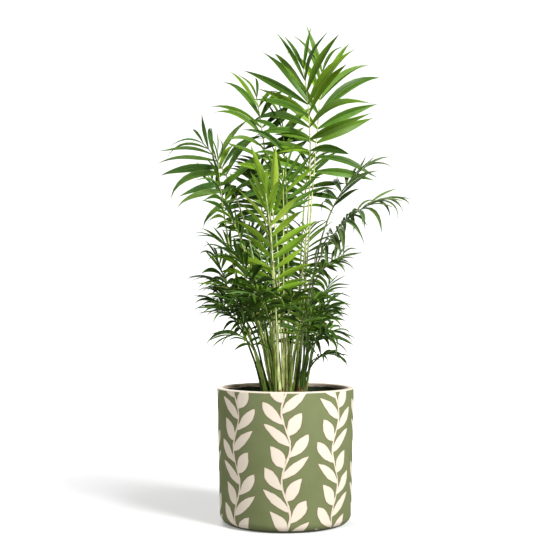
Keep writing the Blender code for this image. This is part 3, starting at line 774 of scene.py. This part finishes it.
class Leaflet:
    """One leaflet's line, lie and width. Side is 1 on the rib's right and -1 on its left."""

    def __init__(self, rib, index, side, draws, turn, lift, size):
        frond = rib.frond
        share = index / (frond.pairs - 1)
        s = rib.station(index)
        point, along, upper, across = rib.frame(s)
        outward = across * side
        angle = ANGLE_AT_BASE + (ANGLE_AT_TIP - ANGLE_AT_BASE) * share
        angle = math.radians(frond.spread * (angle + ANGLE_SPREAD * draws[0]) + turn)
        raised = math.radians(LEAFLET_LIFT + lift)
        sideways = outward * math.cos(raised) + upper * math.sin(raised)
        self.start = point + (outward * ROOT_OUT + upper * ROOT_UP) * rib.radius(s)
        self.aim = along * math.cos(angle) + sideways * math.sin(angle)
        self.length = frond.leaflet * MM * length_share(share) * size
        self.length *= 1 + LENGTH_SPREAD * draws[1]
        self.droop = frond.droop * (DROOP_AT_BASE + (DROOP_AT_TIP - DROOP_AT_BASE) * share)
        self.droop *= 1 + DROOP_SPREAD * draws[2]
        room = WIDTH_SHARE_OF_PAIR * rib.spacing() * math.sin(angle) + WIDTH_OVERHANG
        slim = frond.leaflet < SHORT_LEAFLET
        self.width = self.length * (SHORT_LEAFLET_WIDTH if slim else LONG_LEAFLET_WIDTH)
        if frond.spread > SPEAR_SPREAD:
            self.width = min(self.width, room)
        wide = (along - self.aim * along.dot(self.aim)).normalized()
        face = self.aim.cross(wide)
        if face.dot(upper) < 0:
            face = -face
        twist = math.radians(TWIST_SPREAD * draws[3])
        self.wide = wide * math.cos(twist) + face * math.sin(twist)
        self.upper = upper
        self.root_width = rib.root_length()
        self.points = [self.start]
        for k in range(ARCH_STEPS):
            step = self.heading((k + 0.5) / ARCH_STEPS) * (self.length / ARCH_STEPS)
            self.points.append(self.points[-1] + step)

    def heading(self, t):
        return (self.aim - UP * (self.droop * t)).normalized()

    def frame(self, t):
        """Point, the way across towards the blade's tip, and the way up through the leaf."""
        place = min(t, 1) * (len(self.points) - 1)
        k = min(int(place), len(self.points) - 2)
        along = self.heading(t)
        wide = (self.wide - along * self.wide.dot(along)).normalized()
        face = along.cross(wide)
        if face.dot(self.upper) < 0:
            face = -face
        return self.points[k].lerp(self.points[k + 1], place - k), wide, face

    def corners(self, t, width, grow=0.0):
        """Four corners: back over, back under, front under, front over."""
        point, wide, face = self.frame(t)
        return slab_corners(point, wide, face, width / 2 + grow, LEAFLET_THICKNESS / 2 + grow)

    def guard(self, grow):
        """Sections of the arching leaflet and of its root."""
        root = (self.root_width / 2 + grow, ROOT_DEPTH / 2 + grow)
        sections = [slab_corners(self.start, self.wide, self.aim.cross(self.wide), *root)]
        sections += [self.corners(t, self.width * leaf_outline(t), grow) for t in ARCH_SECTIONS]
        return sections


def slab_corners(point, wide, face, half_width, half_depth):
    return [point - wide * half_width + face * half_depth,
            point - wide * half_width - face * half_depth,
            point + wide * half_width - face * half_depth,
            point + wide * half_width + face * half_depth]


# Finding room: what is placed is kept as test shapes, and a new piece must miss them all


def tube_test_shape(sections):
    """Corners and faces of a closed tube through sections, for a collision test."""
    points = [point for section in sections for point in section]
    count = len(sections[0])
    faces = []
    for k in range(len(sections) - 1):
        row = k * count
        for j in range(count):
            after = (j + 1) % count
            faces.append((row + j, row + after, row + count + after, row + count + j))
    faces.append(tuple(range(count)))
    faces.append(tuple(range(len(points) - count, len(points))))
    return points, faces


def boxed_tree(sections):
    """The low and high corner of a closed tube through sections, and its search tree."""
    points, faces = tube_test_shape(sections)
    low = [min(p[i] for p in points) for i in range(3)]
    high = [max(p[i] for p in points) for i in range(3)]
    return low, high, BVHTree.FromPolygons(points, faces)


class Thicket:
    """Everything placed so far."""

    def __init__(self):
        self.placed = []

    def add(self, owner, sections):
        self.placed.append((owner, *boxed_tree(sections)))

    def is_free(self, joined_to, sections):
        """True where the tube touches nothing but the pieces that it may grow from."""
        low, high, tree = boxed_tree(sections)
        for other, other_low, other_high, other_tree in self.placed:
            if other in joined_to:
                continue
            if any(low[i] > other_high[i] or high[i] < other_low[i] for i in range(3)):
                continue
            if tree.overlap(other_tree):
                return False
        return True


def rib_guard(rib, grow):
    stops = [rib.length * k / RIB_TEST_STEPS for k in range(RIB_TEST_STEPS + 1)]
    return [rib.section(s, RIB_TEST_SIDES, grow * min(1, s / AIR_FULL_AT)) for s in stops]


def grow_rib(thicket, frond, seat, out, axis):
    """The first try that clears what stands already, or None where none does."""
    for turn, tip in RIB_TRIES:
        rib = Rib(frond, seat, out, axis, turn, tip)
        if thicket.is_free((), rib_guard(rib, RIB_AIR)):
            return rib
    return None


def grow_leaflets(thicket, owner, rib, dice):
    """The leaflets that find room."""
    grown = []
    for index in range(rib.frond.pairs):
        for side in (1, -1):
            draws = [dice.uniform(-1, 1) for _ in range(4)]
            joined_to = ((owner, "rib"), (owner, index, -side))
            for turn, lift, size in LEAFLET_TRIES:
                leaflet = Leaflet(rib, index, side, draws, turn, lift, size)
                guard = leaflet.guard(LEAFLET_AIR)
                lowest = min(p.z for section in guard for p in section)
                if lowest > POT_HEIGHT and thicket.is_free(joined_to, guard):
                    thicket.add((owner, index, side), leaflet.guard(0))
                    grown.append(leaflet)
                    break
    return grown


def tier_fronds(dice):
    """The fronds that fill the crown out, drawn from each tier's ranges."""
    made = []
    for tier in TIERS:
        for k, stem in enumerate(tier.stems):
            share = (k + 0.5 + dice.uniform(-TIER_JITTER, TIER_JITTER)) / len(tier.stems)
            azimuth = tier.azimuth[0] + (tier.azimuth[1] - tier.azimuth[0]) * share
            drawn = [dice.uniform(*span) for span in
                     (tier.lean, tier.nod, tier.stalk, tier.blade, tier.leaflet)]
            lean, nod, stalk, blade, leaflet = drawn
            tint = TIER_TINTS[len(made) % len(TIER_TINTS)]
            made.append(Frond(stem, azimuth, lean, nod, stalk, blade, tier.pairs, leaflet,
                              tier.droop, tint))
    return made


def seat_places(stem, fronds):
    """For each frond a seat on the stem's top, on the side that the frond leaves by."""
    centres, axis = stem_path(stem)
    side = (Vector((1, 0, 0)) - axis * axis.x).normalized()
    other = axis.cross(side)
    bearings = []
    for frond in fronds:
        leaves = direction(frond.azimuth, frond.lean + NOD_AT_SEAT * frond.nod)
        bearings.append(math.atan2(leaves.dot(other), leaves.dot(side)))
    order = sorted(range(len(fronds)), key=lambda k: bearings[k])
    step = math.tau / max(3, len(fronds))
    offs = [bearings[k] - n * step for n, k in enumerate(order)]
    base = math.atan2(sum(math.sin(a) for a in offs), sum(math.cos(a) for a in offs))
    places = {}
    for n, k in enumerate(order):
        angle = base + n * step
        out = side * math.cos(angle) + other * math.sin(angle)
        places[k] = (centres[-1] + axis * SEAT_GAP + out * SEAT_OFFSET, out, axis)
    return [places[k] for k in range(len(fronds))]


def finer(frond):
    """The frond with the pairs of leaflets that its small ones need."""
    if frond.leaflet < SHORT_LEAFLET and frond.tint != "young":
        return frond._replace(pairs=round(frond.pairs * FINER_PAIRS))
    return frond


def seedlings(dice):
    """Each seedling's one frond and its foot."""
    made = []
    for k in range(SEEDLINGS):
        turn, reach = math.radians(GOLDEN_ANGLE * k), math.sqrt((k + 0.5) / SEEDLINGS)
        foot = Vector((CLUMP_MIDDLE[0] + CLUMP_REACH[0] * reach * math.cos(turn),
                       CLUMP_MIDDLE[1] + CLUMP_REACH[1] * reach * math.sin(turn), 0))
        away = foot - Vector((*SEEDLING_FAN_FROM, 0))
        azimuth = math.degrees(math.atan2(away.y, away.x))
        azimuth += dice.uniform(-SEEDLING_AZIMUTH_SPREAD, SEEDLING_AZIMUTH_SPREAD)
        drawn = [dice.uniform(*span) for span in
                 (SEEDLING_NOD, SEEDLING_STALK, SEEDLING_BLADE, SEEDLING_LEAFLET)]
        nod, stalk, blade, leaflet = drawn
        frond = Frond(0, azimuth, SEEDLING_LEAN_PER_MM * away.length, nod, stalk, blade,
                      SEEDLING_PAIRS, leaflet, SEEDLING_DROOP, TIER_TINTS[k % len(TIER_TINTS)])
        made.append((frond, foot * MM + UP * SOIL_TOP))
    return made


def grow_plant():
    """Ribs first, then leaflets, so that no leaflet takes a rib's way."""
    fronds = [finer(frond) for frond in FRONDS + tuple(tier_fronds(random.Random(GROWTH_SEED)))]
    thicket = Thicket()
    for stem in STEMS:
        thicket.add("stem", stem_rings(stem))
    seats = {}
    for number, stem in enumerate(STEMS, 1):
        mine = [k for k, frond in enumerate(fronds) if frond.stem == number]
        seats.update(zip(mine, seat_places(stem, [fronds[k] for k in mine])))
    for frond, foot in seedlings(random.Random(SEEDLING_SEED)):
        seats[len(fronds)] = (foot, Vector((0, 0, 0)), UP)
        fronds.append(frond)
    ribs = []
    for k, frond in enumerate(fronds):
        rib = grow_rib(thicket, frond, *seats[k])
        if rib:
            thicket.add((k, "rib"), rib_guard(rib, 0))
            ribs.append((k, rib))
    return [(k, rib, grow_leaflets(thicket, k, rib, random.Random(GROWTH_SEED + k)))
            for k, rib in ribs]


# Pieces of the plant


def blade_pattern():
    """A blade in shares of its width and length. Its edges and midrib are creases."""
    bm = bmesh.new()
    rings = limb(bm, [[Vector((x, t, z)) for x, z in BLADE_SECTION] for t in BLADE_STATIONS])
    bmesh.ops.pointmerge(bm, verts=rings[-1], merge_co=(0, 1, 0))
    smoothed(bm)
    uv = bm.loops.layers.uv.new("blade")
    for face in bm.faces:
        for loop in face.loops:
            loop[uv].uv = ((loop.vert.co.x + 1) / 2, loop.vert.co.y)
    for edge in bm.edges:
        xs = {round(vert.co.x, 3) for vert in edge.verts}
        edge.smooth = not (xs in ({-1.0}, {1.0}, {0.0}) and edge.verts[0].co.z == 0)
    mesh = bpy.data.meshes.new("blade_pattern")
    bm.to_mesh(mesh)
    bm.free()
    return mesh


def add_blade(bm, pattern, scratch, leaflet, dice):
    """Lays the pattern along a leaflet. One that hardly droops is stiff and hardly bends."""
    limp = leaflet.length * min(1, leaflet.droop / LIMP_DROOP)
    fold = math.radians(dice.uniform(*BLADE_FOLD))
    sway = BLADE_SWAY * dice.uniform(-1, 1) * limp
    curl = dice.uniform(*BLADE_CURL) * limp
    hook = dice.uniform(*BLADE_HOOK) * limp
    twist = math.radians(BLADE_TWIST) * dice.uniform(-1, 1)
    shade = dice.choice(SHADE_DEAL)
    one = bmesh.new()
    one.from_mesh(pattern)
    for vert in one.verts:
        x, t, layer = vert.co
        centre, _, face = leaflet.frame(t)
        along = leaflet.heading(t)
        right = along.cross(face)
        centre = centre + right * (sway * math.sin(math.pi * t))
        centre = centre + face * (curl * t ** 3 + hook * t ** 8)
        turned_right = right * math.cos(twist * t) + face * math.sin(twist * t)
        face = face * math.cos(twist * t) - right * math.sin(twist * t)
        half = leaflet.width / 2 * leaf_outline(t)
        bulge = BLADE_BULGE * (1 - (2 * abs(x) - 1) ** 2) if layer == 0 else 0
        lift = half * (abs(x) * math.sin(fold) + bulge) + layer * BLADE_KEEL * (1 - 0.7 * t)
        vert.co = centre + turned_right * (half * x * math.cos(fold)) + face * lift
    for part in one.faces:
        part.material_index = shade
    one.to_mesh(scratch)
    one.free()
    bm.from_mesh(scratch)


def make_leaves(grown, names):
    """One piece of joined leaflets for each tint."""
    pattern = blade_pattern()
    scratch = bpy.data.meshes.new("one_blade")
    for tint, shades in LEAF_SHADES.items():
        bm = bmesh.new()
        nodes = []
        for number, rib, leaflets in grown:
            if rib.frond.tint != tint:
                continue
            nodes += names[number:number + 1]
            dice = random.Random(BLADE_SEED + number)
            for leaflet in leaflets:
                add_blade(bm, pattern, scratch, leaflet, dice)
        finishes = [leaf_finish(f"{tint}_leaf_{k}", shade, k % 2) for k, shade in enumerate(shades, 1)]
        add_piece("leaves_" + tint, bm, finishes, nodes)
    bpy.data.meshes.remove(pattern)
    bpy.data.meshes.remove(scratch)


def scar(height, shift):
    """How far a cane swells at a height, round the scars that fallen leaves left."""
    off = abs((height + shift) % SCAR_EVERY - SCAR_EVERY / 2)
    return SCAR_SWELL * max(0, 1 - off / CANE_STEP)


def cane_sections(rib, shift, stout):
    """From the soil, up the stem's flank, to the seat."""
    centres, _ = stem_path(STEMS[rib.frond.stem - 1])
    foot, bend, top = centres[0], centres[1], centres[-1]
    height = (top - foot).length
    sections = []
    count = round(height / CANE_STEP)
    for k in range(count):
        share = k / count
        if share < STEM_RADII_AT[1]:
            centre = foot.lerp(bend, share / STEM_RADII_AT[1])
        else:
            centre = bend.lerp(top, (share - STEM_RADII_AT[1]) / (1 - STEM_RADII_AT[1]))
        offset = CANE_FOOT_OFFSET + (SEAT_OFFSET - CANE_FOOT_OFFSET) * share
        radius = stout * (CANE_FOOT_RADIUS + (CANE_RADIUS - CANE_FOOT_RADIUS) * share)
        radius += scar(share * height, shift) + CANE_UNEVEN * noise.noise(centre * 160)
        along = UP.lerp(rib.axis, min(1, 3 * share)).normalized()
        place = centre + rib.out * offset
        sections.append(ring_points(place, along, rib.frame(0)[2], radius, CANE_SIDES))
    return sections


def stalk_sections(rib, radius):
    """From the seat to the blade's tip. The stalk slims from the cane's radius to its own."""
    slims_over = min(CANE_SLIMS_OVER, CANE_SHARE_OF_STALK * rib.stalk)
    count = round(rib.length / STALK_STEP)
    sections = []
    for k in range(count + 1):
        s = rib.length * k / count
        swell = (radius - RIB_RADII[0]) * max(0, 1 - s / slims_over) ** 1.5
        sections.append(rib.section(s, CANE_SIDES, swell))
    return sections


def make_stalks(grown, names):
    bm = bmesh.new()
    tints = list(STALK_SHADES)
    dice = random.Random(BLADE_SEED)
    for _, rib, _ in grown:
        shift = dice.uniform(0, SCAR_EVERY)
        stout = STOUT_CANE if rib.frond.tint == "young" else 1
        if rib.frond.stem:
            sections = cane_sections(rib, shift, stout) + stalk_sections(rib, stout * CANE_RADIUS)
        else:
            sections = stalk_sections(rib, SEEDLING_FOOT_RADIUS)
        rings = limb(bm, sections)
        for face in {face for ring in rings for vert in ring for face in vert.link_faces}:
            face.material_index = tints.index(rib.frond.tint)
    finishes = [stalk_finish(tint + "_stalk", STALK_SHADES[tint]) for tint in tints]
    add_piece("stalks", smoothed(bm), finishes, names)


def core_sections(stem, shift):
    """The stem's own line in fine steps, inside its fronds' canes."""
    centres, axis = stem_path(stem)
    heights = [share * stem.height * MM for share in STEM_RADII_AT]
    sections = []
    count = round(heights[-1] / CANE_STEP)
    for k in range(count + 1):
        height = heights[-1] * k / count
        n = next(n for n in (1, 2, 3) if height <= heights[n] + 0.001 * MM)
        share = (height - heights[n - 1]) / (heights[n] - heights[n - 1])
        centre = centres[n - 1].lerp(centres[n], share)
        radius = STEM_RADII[n - 1] + (STEM_RADII[n] - STEM_RADII[n - 1]) * share
        radius = CORE_SHARE_OF_STEM * radius + scar(height, shift)
        radius += CANE_UNEVEN * noise.noise(centre * 160)
        radius *= min(1, CORE_POINT_SHARE + (heights[-1] - height) / CORE_POINT_LENGTH)
        along = UP.lerp(axis, min(1, height / heights[2])).normalized()
        sections.append(ring_points(centre, along, Vector((1, 0, 0)), radius, CANE_SIDES))
    return sections


def make_canes():
    bm = bmesh.new()
    dice = random.Random(BLADE_SEED)
    for stem in STEMS:
        limb(bm, core_sections(stem, dice.uniform(0, SCAR_EVERY)))
    names = [f"stem_{number:02d}" for number in range(1, len(STEMS) + 1)]
    add_piece("canes", smoothed(bm), [cane_finish()], names)


# Studio


def place_camera():
    lens = bpy.data.cameras.new("camera")
    lens.lens = CAMERA_LENS
    lens.sensor_width = CAMERA_SENSOR
    camera = bpy.data.objects.new("camera", lens)
    camera.location = CAMERA_PLACE
    camera.rotation_euler = (math.radians(90 + CAMERA_TIP_UP), 0, 0)
    bpy.context.scene.collection.objects.link(camera)
    bpy.context.scene.camera = camera


def place_floor():
    bm = bmesh.new()
    bmesh.ops.create_grid(bm, x_segments=1, y_segments=1, size=20)
    mesh = bpy.data.meshes.new("studio_floor")
    bm.to_mesh(mesh)
    bm.free()
    mesh.materials.append(paper_finish())
    floor = bpy.data.objects.new("studio_floor", mesh)
    bpy.context.scene.collection.objects.link(floor)


def soft_light(name, place, aim, size, power):
    lamp = bpy.data.lights.new(name, "AREA")
    lamp.shape = "DISK"
    lamp.size = size
    lamp.energy = power
    light = bpy.data.objects.new(name, lamp)
    light.location = place
    light.rotation_euler = (Vector(aim) - Vector(place)).to_track_quat("-Z", "Y").to_euler()
    bpy.context.scene.collection.objects.link(light)


def light_studio():
    """A white room, with a key lamp on the right and weaker ones on the left and behind."""
    world = bpy.data.worlds.new("white_room")
    world.use_nodes = True
    tree = world.node_tree
    sky = tree.nodes["Background"]
    sky.inputs["Color"].default_value = (1, 1, 1, 1)
    sky.inputs["Strength"].default_value = 0.16
    seen = tree.nodes.new("ShaderNodeBackground")
    seen.inputs["Color"].default_value = (1, 1, 1, 1)
    ray = tree.nodes.new("ShaderNodeLightPath")
    either = tree.nodes.new("ShaderNodeMixShader")
    tree.links.new(ray.outputs["Is Camera Ray"], either.inputs[0])
    tree.links.new(sky.outputs[0], either.inputs[1])
    tree.links.new(seen.outputs[0], either.inputs[2])
    tree.links.new(either.outputs[0], tree.nodes["World Output"].inputs[0])
    bpy.context.scene.world = world
    soft_light("key", (1.5, -1.55, 1.6), (0, 0, 0.4), 0.9, 76)
    soft_light("fill", (-1.8, -1.2, 1.0), (0, 0, 0.4), 1.4, 18)
    soft_light("back", (-0.7, 2.1, 1.5), (0, 0, 0.4), 1.4, 30)
    view = bpy.context.scene.view_settings
    view.view_transform = "Standard"
    view.look = "Medium High Contrast"


def build():
    place_camera()
    place_floor()
    light_studio()
    make_pot()
    make_soil()
    make_canes()
    grown = grow_plant()
    names = sorted(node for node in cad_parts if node.startswith("frond_"))
    make_leaves(grown, names)
    make_stalks(grown, names)


build()
